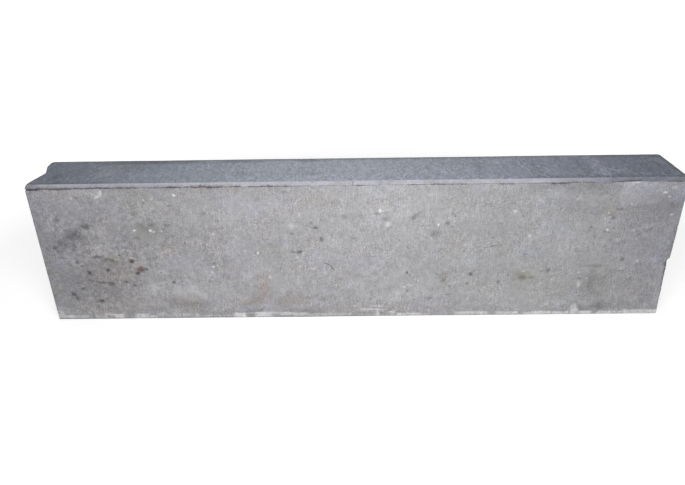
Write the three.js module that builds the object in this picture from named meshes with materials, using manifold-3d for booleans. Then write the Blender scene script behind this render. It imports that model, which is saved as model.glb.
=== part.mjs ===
// Concrete kerb stone, pressed upright, in millimetres.
// +X runs along the kerb, +Y from its front face to its back, +Z up. The origin is the bottom centre.
//
// Three things give the stone its form, and the model follows them in that order:
//   1. the mould box, an outline in plan drawn straight up, with the joint groove in its left end;
//   2. the press shoe, which bevels the front top edge and leaves a seam under the bevel;
//   3. handling, which knocked the arris off one front corner.

import * as THREE from 'three';
import { mergeVertices } from 'three/addons/utils/BufferGeometryUtils.js';
import Module from 'manifold-3d';

// ---- Driving dimensions (mm) ----

const length = 1000;
const thickness = 107; // front face to back face
const height = 242;

const backCornerRadius = 10; // the upright corners behind
const frontArrisRadius = 1.5; // the upright arrises in front, nearly sharp

const grooveWidth = 76; // the joint groove, between the points where its shoulders leave the end face
const grooveDepth = 9.6;
const grooveFloorRadius = 34; // its hollow floor; the radius of its shoulders follows

const bevelReach = 7; // the top bevel, measured across the top face
const bevelDrop = 4.5; // the same, measured down the front face
const seamHeight = 1.8; // the mouth of the seam between the press shoe and the mould wall
const seamDepth = 0.9;

const breakHeight = 105; // the knocked arris runs from the foot up to a ledge at this height
const breakRadius = 6.5; // how far the spall bites in at its ledge
const breakFootRadius = 1.2; // and at the foot, where it runs out

const cutOverrun = 2; // each cut reaches this far outside the stone
const arcSteps = 8; // an arc is drawn in twice as many straight steps
const spallSides = 20; // sides of the hollow that the spall leaves

const concrete = new THREE.MeshStandardMaterial({ color: '#9c9ca0', roughness: 0.93, metalness: 0 });

// ---- Solids that can be cut ----

const wasm = await Module();
wasm.setup();

// A closed geometry as a solid: its positions alone, with the shared vertices merged.
function solidFrom(geometry) {
  const bare = geometry.clone();
  bare.deleteAttribute('normal');
  bare.deleteAttribute('uv');
  const merged = mergeVertices(bare);
  const mesh = new wasm.Mesh({
    numProp: 3,
    vertProperties: new Float32Array(merged.attributes.position.array),
    triVerts: new Uint32Array(merged.index.array),
  });
  return new wasm.Manifold(mesh);
}

// A cut solid as a geometry again.
function geometryFrom(solid) {
  const mesh = solid.getMesh();
  const geometry = new THREE.BufferGeometry();
  geometry.setAttribute('position', new THREE.BufferAttribute(mesh.vertProperties, 3));
  geometry.setIndex(new THREE.BufferAttribute(mesh.triVerts, 1));
  geometry.computeVertexNormals();
  return geometry;
}

// ---- 1. The mould box ----

const quarterTurn = Math.PI / 2;
const right = length / 2;
const back = thickness / 2;

// Half of the groove is an S: a hollow floor arc that runs into a round shoulder without a kink.
// Where the two arcs touch, halfWidth² + depth² = 2 · depth · (floor radius + shoulder radius).
const grooveHalf = grooveWidth / 2;
const grooveRadii = (grooveHalf ** 2 + grooveDepth ** 2) / (2 * grooveDepth);
const shoulderRadius = grooveRadii - grooveFloorRadius;
const grooveSwing = Math.asin(grooveHalf / grooveRadii);

// The stone seen from above, drawn anticlockwise from its front right arris.
function mouldOutline() {
  const arris = frontArrisRadius;
  const corner = backCornerRadius;
  const shoulder = shoulderRadius;
  const floor = grooveFloorRadius;
  const leftwards = 2 * quarterTurn;
  const outline = new THREE.Shape();
  outline.absarc(right - arris, arris - back, arris, -quarterTurn, 0);
  outline.absarc(right - corner, back - corner, corner, 0, quarterTurn);
  outline.absarc(corner - right, back - corner, corner, quarterTurn, leftwards);
  outline.absarc(shoulder - right, grooveHalf, shoulder, leftwards, leftwards + grooveSwing);
  outline.absarc(grooveDepth - floor - right, 0, floor, grooveSwing, -grooveSwing, true);
  outline.absarc(shoulder - right, -grooveHalf, shoulder, leftwards - grooveSwing, leftwards);
  outline.absarc(arris - right, arris - back, arris, leftwards, leftwards + quarterTurn);
  return outline;
}

function mouldBox() {
  const steps = { depth: height, bevelEnabled: false, curveSegments: arcSteps };
  return new THREE.ExtrudeGeometry(mouldOutline(), steps);
}

// ---- 2. The press shoe ----

// What the shoe keeps free along the front edge: the bevel, and the V of the seam under it.
// Drawn across the kerb, with u inwards from the front face and v upwards from the top face.
function shoeSection() {
  const rise = (cutOverrun * bevelDrop) / bevelReach;
  return new THREE.Shape([
    new THREE.Vector2(bevelReach + cutOverrun, rise),
    new THREE.Vector2(-cutOverrun, rise),
    new THREE.Vector2(-cutOverrun, -bevelDrop - seamHeight),
    new THREE.Vector2(0, -bevelDrop - seamHeight),
    new THREE.Vector2(seamDepth, -bevelDrop - seamHeight / 2),
    new THREE.Vector2(0, -bevelDrop),
  ]);
}

function shoeCut() {
  const run = length + 2 * cutOverrun;
  const cut = new THREE.ExtrudeGeometry(shoeSection(), { depth: run, bevelEnabled: false });
  const inwards = new THREE.Vector3(0, 1, 0);
  const upwards = new THREE.Vector3(0, 0, 1);
  const along = new THREE.Vector3(1, 0, 0);
  cut.applyMatrix4(new THREE.Matrix4().makeBasis(inwards, upwards, along));
  return cut.translate(-run / 2, -back, height);
}

// ---- 3. The knocked arris ----

// A spall leaves a round hollow: a cone about the front right arris, widest at its flat ledge.
function spall() {
  const taper = (breakRadius - breakFootRadius) / breakHeight;
  const footRadius = breakFootRadius - taper * cutOverrun;
  const hollow = new THREE.CylinderGeometry(breakRadius, footRadius, breakHeight + cutOverrun, spallSides);
  hollow.rotateX(quarterTurn);
  return hollow.translate(right, -back, (breakHeight - cutOverrun) / 2);
}

// ---- The stone ----

function kerbStone() {
  const stone = solidFrom(mouldBox()).subtract(solidFrom(shoeCut())).subtract(solidFrom(spall()));
  const mesh = new THREE.Mesh(geometryFrom(stone), concrete);
  mesh.name = 'kerb_stone';
  return mesh;
}

const kerb = new THREE.Group();
kerb.add(kerbStone());

export default kerb;
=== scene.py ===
# %% [markdown]
# # A press-made concrete kerb stone
# The real thing is one block of earth-moist concrete, a metre long. A mould box with sides of plate
# gives its upright faces, a press shoe comes down on the fill and gives its dense dark top and the pale
# bevel along the front, and a production board under the mould gives its base. The fresh block is pushed
# out straight away, which drags fine upright lines down its faces. Everything that the eye reads on it
# comes from those three tools, so this lesson models it in the same order: block, bevel and seam, foot,
# joint groove, broken arris, and then one finish for each tool.

# %% Load the model
import math
import random

import bmesh
import bpy
from mathutils import Matrix, Vector, noise


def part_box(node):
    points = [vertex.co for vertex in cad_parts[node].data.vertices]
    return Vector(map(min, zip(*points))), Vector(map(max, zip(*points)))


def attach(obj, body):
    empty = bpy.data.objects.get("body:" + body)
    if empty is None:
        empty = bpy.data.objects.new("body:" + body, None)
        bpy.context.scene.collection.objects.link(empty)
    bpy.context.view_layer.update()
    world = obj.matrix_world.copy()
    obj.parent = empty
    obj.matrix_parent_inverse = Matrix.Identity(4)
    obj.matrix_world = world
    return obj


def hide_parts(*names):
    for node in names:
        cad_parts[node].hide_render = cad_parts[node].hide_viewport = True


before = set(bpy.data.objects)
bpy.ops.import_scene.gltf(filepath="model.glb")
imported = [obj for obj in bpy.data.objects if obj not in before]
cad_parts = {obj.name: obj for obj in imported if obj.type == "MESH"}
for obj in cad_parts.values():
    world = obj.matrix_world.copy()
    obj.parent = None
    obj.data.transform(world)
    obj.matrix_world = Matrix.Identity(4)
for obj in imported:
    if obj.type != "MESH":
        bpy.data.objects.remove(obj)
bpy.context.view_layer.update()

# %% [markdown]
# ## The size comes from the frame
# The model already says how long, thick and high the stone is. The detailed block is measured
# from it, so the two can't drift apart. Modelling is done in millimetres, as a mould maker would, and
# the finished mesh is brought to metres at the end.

MM = 0.001
stone_low, stone_high = (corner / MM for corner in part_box("kerb_stone"))
LENGTH, THICKNESS, HEIGHT = stone_high - stone_low
LEFT, RIGHT = stone_low.x, stone_high.x
FRONT, BACK = stone_low.y, stone_high.y
print(f"stone: {LENGTH:.1f} x {THICKNESS:.1f} x {HEIGHT:.1f} mm")

# %% [markdown]
# ## The camera
# A wide lens close to the stone and a little above it, as when someone stands over it: both ends lean
# inwards and the top shows as a narrow band. A level camera further off would flatten both effects.
# The camera is placed by its point and three angles, because those are what a tripod has.

# %% Set up the camera
CAMERA_POINT = Vector((-9.62, -927.93, 598.24)) * MM
LOOK_DOWN = math.radians(27.634)
LOOK_LEFT = math.radians(0.714)
TILT = math.radians(-0.982)
SENSOR_WIDTH = 36.0
LENS = 33.0

camera_data = bpy.data.cameras.new("tripod_camera")
camera_data.sensor_width = SENSOR_WIDTH
camera_data.lens = LENS
camera = bpy.data.objects.new("tripod_camera", camera_data)
bpy.context.scene.collection.objects.link(camera)
aim = Matrix.Rotation(LOOK_LEFT, 4, "Z") @ Matrix.Rotation(math.pi / 2 - LOOK_DOWN, 4, "X")
camera.matrix_world = Matrix.Translation(CAMERA_POINT) @ aim @ Matrix.Rotation(TILT, 4, "Z")
bpy.context.scene.camera = camera
print("camera", [round(value, 3) for value in camera.location])

# %% [markdown]
# ## Two helpers for finishes
# Colours are written as sRGB hex, as a paint chart gives them, and Blender mixes in linear light, so one
# function turns them. Nodes are added by one other function, which sets a node's options and joins its
# inputs, so that each finish below reads as a list of what it is made from.

# %% Define colour and add
def colour(hex_code):
    """Linear RGBA of an sRGB colour such as '#aab0b8', by the curve of the sRGB standard."""
    shares = [int(hex_code[start:start + 2], 16) / 255 for start in (1, 3, 5)]
    linear = [share / 12.92 if share <= 0.04045 else ((share + 0.055) / 1.055) ** 2.4 for share in shares]
    return (*linear, 1.0)


def add(tree, kind, inputs=None, **options):
    """A new shader node of that kind, with its options set and its inputs joined or given a value."""
    made = tree.nodes.new("ShaderNode" + kind)
    for option, value in options.items():
        setattr(made, option, value)
    for socket, value in (inputs or {}).items():
        if isinstance(value, bpy.types.NodeSocket):
            tree.links.new(value, made.inputs[socket])
        else:
            made.inputs[socket].default_value = value
    return made


print("a mid grey #808080 is", round(colour("#808080")[0], 3), "in linear light")

# %% [markdown]
# ## The sky of the studio
# A white sky lights the stone softly from all round. Rays that only look at the background should see it
# as plain white, but the stone shouldn't be lit by that much white. The Light Path node can tell the two
# kinds of ray apart, so the background is white and the light stays weak.

# %% Make the sky
SKY_LEVEL = 0.29
WHITE = "#ffffff"


def seen_rays(tree):
    """1 for rays that look at a surface straight, in a mirror or through glass, otherwise 0."""
    path = add(tree, "LightPath").outputs
    direct = add(tree, "Math", {0: path["Is Camera Ray"], 1: path["Is Glossy Ray"]},
                 operation="ADD", use_clamp=True)
    return add(tree, "Math", {0: direct.outputs[0], 1: path["Is Transmission Ray"]},
               operation="ADD", use_clamp=True).outputs[0]


world = bpy.data.worlds.new("studio_sky")
world.use_nodes = True
bpy.context.scene.world = world
sky = world.node_tree
sky.nodes.clear()
level = add(sky, "MapRange", {"Value": seen_rays(sky), "To Min": SKY_LEVEL, "To Max": 1.0})
glow = add(sky, "Background", {"Color": colour(WHITE), "Strength": level.outputs["Result"]})
add(sky, "OutputWorld", {"Surface": glow.outputs["Background"]})
print("sky:", len(sky.nodes), "nodes")

# %% [markdown]
# ## The floor
# One large square of matt white paint. Its white is helped along by a little light of its own, again only
# for rays that look at it. That help is weaker near the stone than far off, so the soft shadow that
# grounds the stone stays. A curved sweep would hide the horizon too, but the camera looks down and never
# sees one.

# %% Lay the floor
FLOOR_HALF = 9.0
FLOOR_WHITE = "#dcdcdc"
NEAR_LIFT, FAR_LIFT = 0.5, 1.0
LIFT_START, LIFT_END = 0.75, 1.7

floor_mesh = bmesh.new()
bmesh.ops.create_grid(floor_mesh, x_segments=1, y_segments=1, size=FLOOR_HALF)
floor_data = bpy.data.meshes.new("studio_floor")
floor_mesh.to_mesh(floor_data)
floor_mesh.free()
floor = bpy.data.objects.new("studio_floor", floor_data)
bpy.context.scene.collection.objects.link(floor)
print("floor:", 2 * FLOOR_HALF, "m square")

# %% Paint the floor
floor_paint = bpy.data.materials.new("matt_white_floor_paint")
floor_paint.use_nodes = True
paint = floor_paint.node_tree
paint.nodes.clear()
matt = add(paint, "BsdfDiffuse", {"Color": colour(FLOOR_WHITE)})
from_stone = add(paint, "VectorMath", {0: add(paint, "TexCoord").outputs["Object"]}, operation="LENGTH")
rise = add(paint, "MapRange", {"Value": from_stone.outputs["Value"], "From Min": LIFT_START,
                               "From Max": LIFT_END, "To Min": NEAR_LIFT, "To Max": FAR_LIFT})
lift = add(paint, "Math", {0: seen_rays(paint), 1: rise.outputs["Result"]}, operation="MULTIPLY")
whiteness = add(paint, "Emission", {"Strength": lift.outputs[0]})
both = add(paint, "AddShader", {0: matt.outputs[0], 1: whiteness.outputs[0]})
add(paint, "OutputMaterial", {"Surface": both.outputs[0]})
floor_data.materials.append(floor_paint)
print("floor paint:", len(paint.nodes), "nodes")

# %% [markdown]
# ## The lamps
# One large soft box hangs over the camera and makes the front lighter than the top. Three weak fills, all
# behind the plane of the front, lift the back and the two ends, so the stone can be looked at from every
# side and the front still keeps its light. Area lamps are used because their size sets how soft the
# shadows are: a point lamp would draw a hard black shadow under every grain. The Standard view then shows
# each colour about as it is written.

# %% Hang the lamps
LAMP_AIM = Vector((0.0, FRONT * MM, 0.15))
LAMPS = (
    # name, place in metres, width, height, watts
    ("soft_box", (0.0, -0.82, 0.87), 0.7, 0.45, 9.0),
    ("back_fill", (0.0, 2.3, 0.75), 2.2, 1.2, 18.0),
    ("left_fill", (-2.2, 0.9, 0.45), 1.2, 0.8, 7.0),
    ("right_fill", (2.2, 0.9, 0.45), 1.2, 0.8, 7.0),
)

for name, place, width, height, watts in LAMPS:
    lamp_data = bpy.data.lights.new(name, "AREA")
    lamp_data.shape = "RECTANGLE"
    lamp_data.size, lamp_data.size_y = width, height
    lamp_data.energy = watts
    lamp = bpy.data.objects.new(name, lamp_data)
    lamp.location = place
    lamp.rotation_euler = (LAMP_AIM - lamp.location).to_track_quat("-Z", "Y").to_euler()
    lamp.visible_camera = False
    bpy.context.scene.collection.objects.link(lamp)
    print(f"{name}: {watts} W")
bpy.context.scene.view_settings.view_transform = "Standard"

# %% [markdown]
# ## The block, cut into zones
# A cube is stretched to the size of the stone. Planes then mark the places where the detail changes: the
# band that the press shoe bevels, the strip under it where shoe and mould meet, and the foot that stood
# on the production board. Each zone's edges are divided by its own spacing, so the small forms get small
# faces and the plain middle of the block doesn't. Dividing the whole block finely would be simpler, but
# at a millimetre it would take over a million faces.

# %% Cut the block into zones
GRIT = 5.0
FINE = 1.0
SEAM_ROW = 0.75
BEVEL_REACH = 7.0
SEAM_ZONE = 12.5
FOOT_ZONE = 12.0
PARALLEL = 1e-4

block = bmesh.new()
bmesh.ops.create_cube(block, size=1.0)
bmesh.ops.scale(block, vec=(LENGTH, THICKNESS, HEIGHT), verts=block.verts)
bmesh.ops.translate(block, vec=(0, 0, HEIGHT / 2), verts=block.verts)
ZONE_PLANES = (
    # point, normal
    ((0, FRONT + BEVEL_REACH, 0), (0, 1, 0)),
    ((0, 0, FOOT_ZONE), (0, 0, 1)),
    ((0, 0, HEIGHT - SEAM_ZONE), (0, 0, 1)),
)
for point, normal in ZONE_PLANES:
    everything = block.verts[:] + block.edges[:] + block.faces[:]
    bmesh.ops.bisect_plane(block, geom=everything, dist=PARALLEL, plane_co=point, plane_no=normal)
print("zones:", len(block.faces), "faces")

# %% Divide each zone by its own spacing
X, Y, Z = range(3)


def divide(axis, low, high, spacing, chosen=lambda middle: True):
    """Divides the edges that run along an axis between two places into pieces of about one spacing."""
    others = [other for other in (X, Y, Z) if other != axis]
    edges = []
    for edge in block.edges:
        start, end = (vert.co for vert in edge.verts)
        middle = (start + end) / 2
        if all(abs(end[other] - start[other]) < PARALLEL for other in others):
            if low < middle[axis] < high and chosen(middle):
                edges.append(edge)
    cuts = round(edges[0].calc_length() / spacing) - 1
    bmesh.ops.subdivide_edges(block, edges=edges, cuts=cuts, use_grid_fill=True)


divide(Z, 0, FOOT_ZONE, FINE)
divide(Z, FOOT_ZONE, HEIGHT - SEAM_ZONE, GRIT)
divide(Z, HEIGHT - SEAM_ZONE, HEIGHT, SEAM_ROW)
divide(X, LEFT, RIGHT, GRIT)
divide(Y, FRONT, FRONT + BEVEL_REACH, FINE)
divide(Y, FRONT + BEVEL_REACH, BACK, GRIT)
print("divided:", len(block.faces), "faces")

# %% [markdown]
# ## The marks that have depth
# Blowholes and picked-out grit leave small pits, a short crack runs through the face, and a knock took a
# flat chip off it near the top. They are listed, each with its place on the front, so that they
# can be checked against the real stone one by one. A scatter of smaller pits comes from a seeded draw,
# since nobody would place those singly and every run has to give the same stone.

# %% List the pits
FRONT_PITS = (
    # along, up, radius, depth
    (-446.6, 108.8, 2.6, 1), (-430.2, 90, 2.8, 1), (-399.2, 95.2, 2.2, 0.8), (-376.6, 121.6, 1.8, 0.7),
    (-373.3, 72.3, 1.9, 0.8), (-296.8, 70.2, 2.6, 1), (-420.4, 36.2, 3.2, 1), (-462.7, 48.4, 3, 0.8),
    (-443.4, 61.7, 2.4, 0.8), (-352.2, 88.3, 3.4, 0.9), (-358.5, 112.1, 2.8, 0.8),
    (-432.5, 215.5, 1.8, 0.7), (-324.5, 215.6, 2.2, 0.7), (-62.8, 166.4, 2.4, 0.8),
    (-54.1, 147, 2.8, 0.9), (-85, 124.5, 2.8, 0.8), (185, 80.4, 2.6, 0.8),
)
# how dark each pit is drawn: painted shade and dirt in the pit
LISTED_PIT_SHADE_AND_DIRT, SCATTERED_PIT_SHADE_AND_DIRT = 0.35, 0.25
pits = [(Vector((along, FRONT, up)), radius, depth, LISTED_PIT_SHADE_AND_DIRT) for along, up, radius, depth in FRONT_PITS]
print(len(pits), "pits by hand")

# %% Scatter smaller pits
SCATTER_SEED = 11
SCATTER = 70
SCATTER_RADIUS, SCATTER_DEPTH = (1.0, 2.2), (0.4, 0.9)
draw = random.Random(SCATTER_SEED)
for _ in range(SCATTER):
    along, across, up = draw.uniform(LEFT, RIGHT), draw.uniform(FRONT, BACK), draw.uniform(0, HEIGHT)
    spot = draw.choice((Vector((along, FRONT, up)), Vector((along, BACK, up)),
                        Vector((along, across, HEIGHT)), Vector((RIGHT, across, up))))
    pits.append((spot, draw.uniform(*SCATTER_RADIUS), draw.uniform(*SCATTER_DEPTH), SCATTERED_PIT_SHADE_AND_DIRT))
print(len(pits), "pits")

# %% List the crack and the chip
CRACK = (Vector((-49.9, FRONT, 103.8)), Vector((-40.5, FRONT, 98.5)), Vector((-33.9, FRONT, 88.8)))
CHIP = (Vector((-387.0, FRONT, 228.0)), Vector((5.5, 0, 8.0)), 1.1)
print("crack of", round(sum((end - start).length for start, end in zip(CRACK, CRACK[1:]))), "mm")

# %% [markdown]
# ## Finer faces where the stone has fine form
# The bevel, the seam under it and the foot are divided again along the stone. The two upright front
# corners, the break and the places of the pits, the crack and the chip are divided both ways. The rest
# keeps its grit-sized faces.

# %% Refine the fine forms
CORNER_ZONE = 7.0
BREAK_HEIGHT = 109.0
BREAK_ZONE = 14.0
MARK_MARGIN = 2.5
BAND_TOP = HEIGHT - PARALLEL


def in_fine_band(middle):
    """Whether an edge lies on the bevel, in the seam's strip or on the foot."""
    on_front = middle.y < FRONT + PARALLEL
    on_bevel = middle.z > BAND_TOP and middle.y < FRONT + BEVEL_REACH + PARALLEL
    in_foot = on_front and middle.z < FOOT_ZONE - PARALLEL
    in_seam = on_front and middle.z > HEIGHT - SEAM_ZONE + PARALLEL
    return on_bevel or in_foot or in_seam


def has_fine_form(middle):
    """Whether a face lies at the break, a front corner, a pit, the crack or the chip."""
    depth = middle.y - FRONT
    to_right = RIGHT - middle.x
    broken = middle.z < BREAK_HEIGHT + GRIT and max(depth, to_right) < BREAK_ZONE
    at_corner = max(depth, min(to_right, middle.x - LEFT)) < CORNER_ZONE
    pitted = any((middle - spot).length < radius + MARK_MARGIN for spot, radius, _, _ in pits)
    cracked = min((middle - point).length for point in CRACK) < GRIT + MARK_MARGIN
    chipped = (middle - CHIP[0]).length < CHIP[1].length + MARK_MARGIN
    return broken or at_corner or pitted or cracked or chipped


divide(X, LEFT, RIGHT, FINE, in_fine_band)
coarse = {edge for face in block.faces if has_fine_form(face.calc_center_median()) for edge in face.edges
          if edge.calc_length() > 2 * FINE}
bmesh.ops.subdivide_edges(block, edges=list(coarse), cuts=round(GRIT / FINE) - 1, use_grid_fill=True)
print("refined:", len(block.faces), "faces")

# %% [markdown]
# ## Corners and edges
# The mould's rear corners are rounded, the front ones are nearly sharp and have worn unevenly in
# handling. A bevel operator gives one width all along, so the edges are worn by moving the points near
# them instead: near an edge, squares round the arc's centre become circles, which also keeps the faces
# beside the arc from folding.

# %% Wear the edges
REAR_CORNER = 8.5
FOOT_EDGE = 0.7
TOP_EDGE = 1.1
WEAR = 1.3
WEAR_CHANGE = 0.9
WEAR_SPACING = 14.0


def worn(depth_a, depth_b, radius):
    """Where a point near a square edge lies once the edge has that radius, as depths below its faces."""
    inside_a, inside_b = radius - depth_a, radius - depth_b
    if inside_a <= 0 or inside_b <= 0:
        return depth_a, depth_b
    shrink = max(inside_a, inside_b) / math.hypot(inside_a, inside_b)
    return radius - inside_a * shrink, radius - inside_b * shrink


for vert in block.verts:
    end = min(vert.co.x - LEFT, RIGHT - vert.co.x)
    back = BACK - vert.co.y
    front = vert.co.y - FRONT
    top = HEIGHT - vert.co.z
    foot = vert.co.z
    side = math.copysign(1, vert.co.x)
    wear = WEAR + WEAR_CHANGE * noise.noise(Vector((side * LENGTH, 0, foot / WEAR_SPACING)))
    end, back = worn(end, back, REAR_CORNER)
    front = THICKNESS - back if back < REAR_CORNER else front
    end, front = worn(end, front, wear)
    end, top = worn(end, top, TOP_EDGE)
    back = THICKNESS - front
    back, top = worn(back, top, TOP_EDGE)
    foot = HEIGHT - top
    end, foot = worn(end, foot, FOOT_EDGE)
    front = THICKNESS - back
    front, foot = worn(front, foot, FOOT_EDGE)
    vert.co = side * (LENGTH / 2 - end), FRONT + front, foot
print(f"front corners worn by {WEAR - WEAR_CHANGE:.1f} to {WEAR + WEAR_CHANGE:.1f} mm")

# %% [markdown]
# ## The pressed bevel and the joint groove
# Both are long soft changes of shape that the divided block can simply be pushed into. The shoe's lip
# presses the front of the top down into a slope. On the left end a shallow groove runs the full height,
# where mortar keys two stones together. Its deepest line is nearly a corner and lies a little behind the
# middle, so the rear flank is steep and the front one long and flat. Two straight flanks give that, and
# a soft minimum, which rounds the corner between two numbers, blends them with each other and the end.

# %% Press the bevel and the groove
BEVEL_DROP = 4.5
REAR_FLANK = (31.0, -0.36)
FRONT_FLANK = (-38.5, 0.25)
GROOVE_BOTTOM_SOFT = 1.2
GROOVE_LIP_SOFT = 1.5
GROOVE_FADE = 60.0


def soft_minimum(first, second, soft):
    """The smaller of two numbers, with a round corner where they are nearly the same."""
    return (first + second - math.hypot(first - second, soft)) / 2


def groove_depth(across):
    """Depth of the joint groove at a distance from the middle of the end."""
    rear, front = (slope * (across - start) for start, slope in (REAR_FLANK, FRONT_FLANK))
    depth = soft_minimum(rear, front, GROOVE_BOTTOM_SOFT)
    return max(0.0, -soft_minimum(-depth, 0.0, GROOVE_LIP_SOFT))


for vert in block.verts:
    across, up = vert.co.y, vert.co.z
    slope = max(0.0, 1 - (across - FRONT) / BEVEL_REACH)
    pressed = max(0.0, 1 - (HEIGHT - up) / SEAM_ZONE)
    vert.co.z -= BEVEL_DROP * slope * pressed
    from_end = max(0.0, 1 - (vert.co.x - LEFT) / GROOVE_FADE)
    vert.co.x += groove_depth(across) * from_end
deepest = max(groove_depth(across) for across in range(round(FRONT), round(BACK)))
print("groove:", round(deepest, 2), "mm deep")

# %% [markdown]
# ## Relief of the cast faces
# No face of a pressed stone is true. The fill settles in soft waves, and the drag of the mould leaves a
# low ripple. The waves only ever go inwards from the mould's size, so the stone can't outgrow it. Each
# depth is a sum of noises of one real size each, from a hand's width down to a grain.

# %% Define the waves
FACE_WAVES = ((170.0, 0.40), (38.0, 0.22), (12.0, 0.14))
ROUGH_WAVES = ((6.0, 0.9), (2.2, 0.6))


def waves(point, sizes):
    """Depth of soft waves at a point. Each wave has a size from crest to crest and a full height."""
    return sum(height * (0.5 + 0.5 * noise.noise(point / size)) for size, height in sizes)


def smooth(low, high, value):
    """0 below low and 1 above high, with a soft step between them."""
    share = min(1.0, max(0.0, (value - low) / (high - low)))
    return share * share * (3 - 2 * share)


print("waves up to", sum(height for _, height in FACE_WAVES), "mm deep")

# %% [markdown]
# ## The seam under the bevel
# Where the shoe's lip meets the mould wall, a little paste is squeezed into the gap and tears when the
# stone is pushed out. That leaves a ragged groove, deep and dark along the left half, nearly closed in
# the middle and torn open again in places on the right. Its dark is painted shade and dirt in the groove.
# It could be one even groove with a noise on it, but no two hands' widths of the real one are alike, so
# it is listed by stretches, and a noise only roughens each of them.

# %% List the stretches of the seam
BEVEL_FOOT = HEIGHT - BEVEL_DROP
SEAM_BELOW = 0.7
SEAM_END = 4.0
SEAM_STRETCHES = (
    # from, to, rise, half height, depth, painted shade and dirt, smear above it
    (-505, -478, -0.9, 2.2, 1.4, 1, 0.6), (-482, -432, -0.3, 1.6, 1.1, 0.8, 0.7),
    (-434, -404, 0, 1.4, 1, 0.75, 0.5), (-402, -366, 0.4, 1.1, 1, 1, 0.25),
    (-362, -330, 0.2, 1.4, 1, 0.75, 0.4), (-332, -304, 0.3, 1, 0.8, 0.6, 0.3),
    (-304, -284, 0, 1.2, 0.9, 0.65, 0.45), (-284, -246, 0.4, 1.3, 1.1, 0.95, 0.35),
    (-234, -227, 1.6, 1.2, 1.2, 0.9, 0.2), (-246, -201, -0.2, 1.8, 1.2, 0.9, 0.7),
    (-200, -188, 0, 0.9, 0.5, 0.5, 0.3), (-187, -173, 0.2, 1.3, 1, 0.9, 0.2),
    (-160, -140, 0, 1, 0.8, 0.65, 0.15), (-142, -98, 0.2, 1.2, 0.9, 0.8, 0.2),
    (-98, -74, 0, 0.8, 0.5, 0.6, 0), (-74, 290, 0, 0.7, 0.4, 0.36, 0), (2, 14, -0.8, 1, 0.5, 0.7, 0),
    (80, 104, -0.4, 0.9, 0.5, 0.7, 0), (114, 166, 0, 1.1, 0.6, 0.65, 0.2),
    (217, 237, -1.4, 1.4, 0.6, 0.55, 0), (284, 296, 0, 1, 0.8, 0.8, 0),
    (295, 322, -1, 1.2, 1, 0.78, 0.2), (321, 336, 0.8, 1.1, 0.9, 0.85, 0),
    (336, 360, 0.3, 0.8, 0.5, 0.55, 0), (384, 402, 0.3, 1, 0.8, 0.75, 0),
    (401, 428, 1.6, 0.9, 0.9, 0.75, 0.2), (468, 490, 0.4, 1.6, 1.2, 0.8, 0.3),
)
CLOSED_SEAM = (0.6, 0.2, 0.2, 0.0)
print(len(SEAM_STRETCHES), "stretches of seam")

# %% Follow the seam
SEAM_WANDER = ((0.5, 16.0, 0), (0.4, 4.0, 3.1))
SEAM_RAGGED_HALF = (0.7, 6.0, 7.3)
SEAM_RAGGED_DEPTH = (0.6, 9.0, 9.9)
SEAM_SHALLOWER = 0.8


def rough_along(along, height, size, row):
    """A noise along the stone. It goes from -height to height, and each row is another noise."""
    return height * noise.noise(Vector((along / size, row, 0)))


def seam(along):
    """Line, half height, depth, painted shade and dirt, and smear of the seam at a place along the stone."""
    values = list(CLOSED_SEAM)
    risen, weight = 0.0, 0.0
    for start, end, rise, *stretch in SEAM_STRETCHES:
        here = smooth(start - SEAM_END, start, along) * smooth(-end - SEAM_END, -end, -along)
        values = [max(value, most * here) for value, most in zip(values, stretch)]
        risen, weight = risen + rise * here, weight + here
    half, depth, shade_and_dirt, smear = values
    wander = sum(rough_along(along, *wave) for wave in SEAM_WANDER)
    ragged_half = half * (1.0 + rough_along(along, *SEAM_RAGGED_HALF))
    ragged_depth = depth * (SEAM_SHALLOWER + rough_along(along, *SEAM_RAGGED_DEPTH))
    line = BEVEL_FOOT - SEAM_BELOW + wander + risen / max(1.0, weight)
    return line, ragged_half, ragged_depth, shade_and_dirt, smear


for along in (LEFT, 0, RIGHT):
    print(f"seam at {along:.0f} mm: {seam(along)[2]:.2f} mm deep")

# %% [markdown]
# ## The foot on its board
# Wet cement settled on the production board and crept up the mould wall. It stayed as scabs of pale skin
# along the foot that stand a little proud of the face, with bare stretches between them. The lowest edge
# is darkened as painted shade, where it turns under towards the floor. Each scab is a stretch of the foot
# with its own lower and upper edge.

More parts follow.
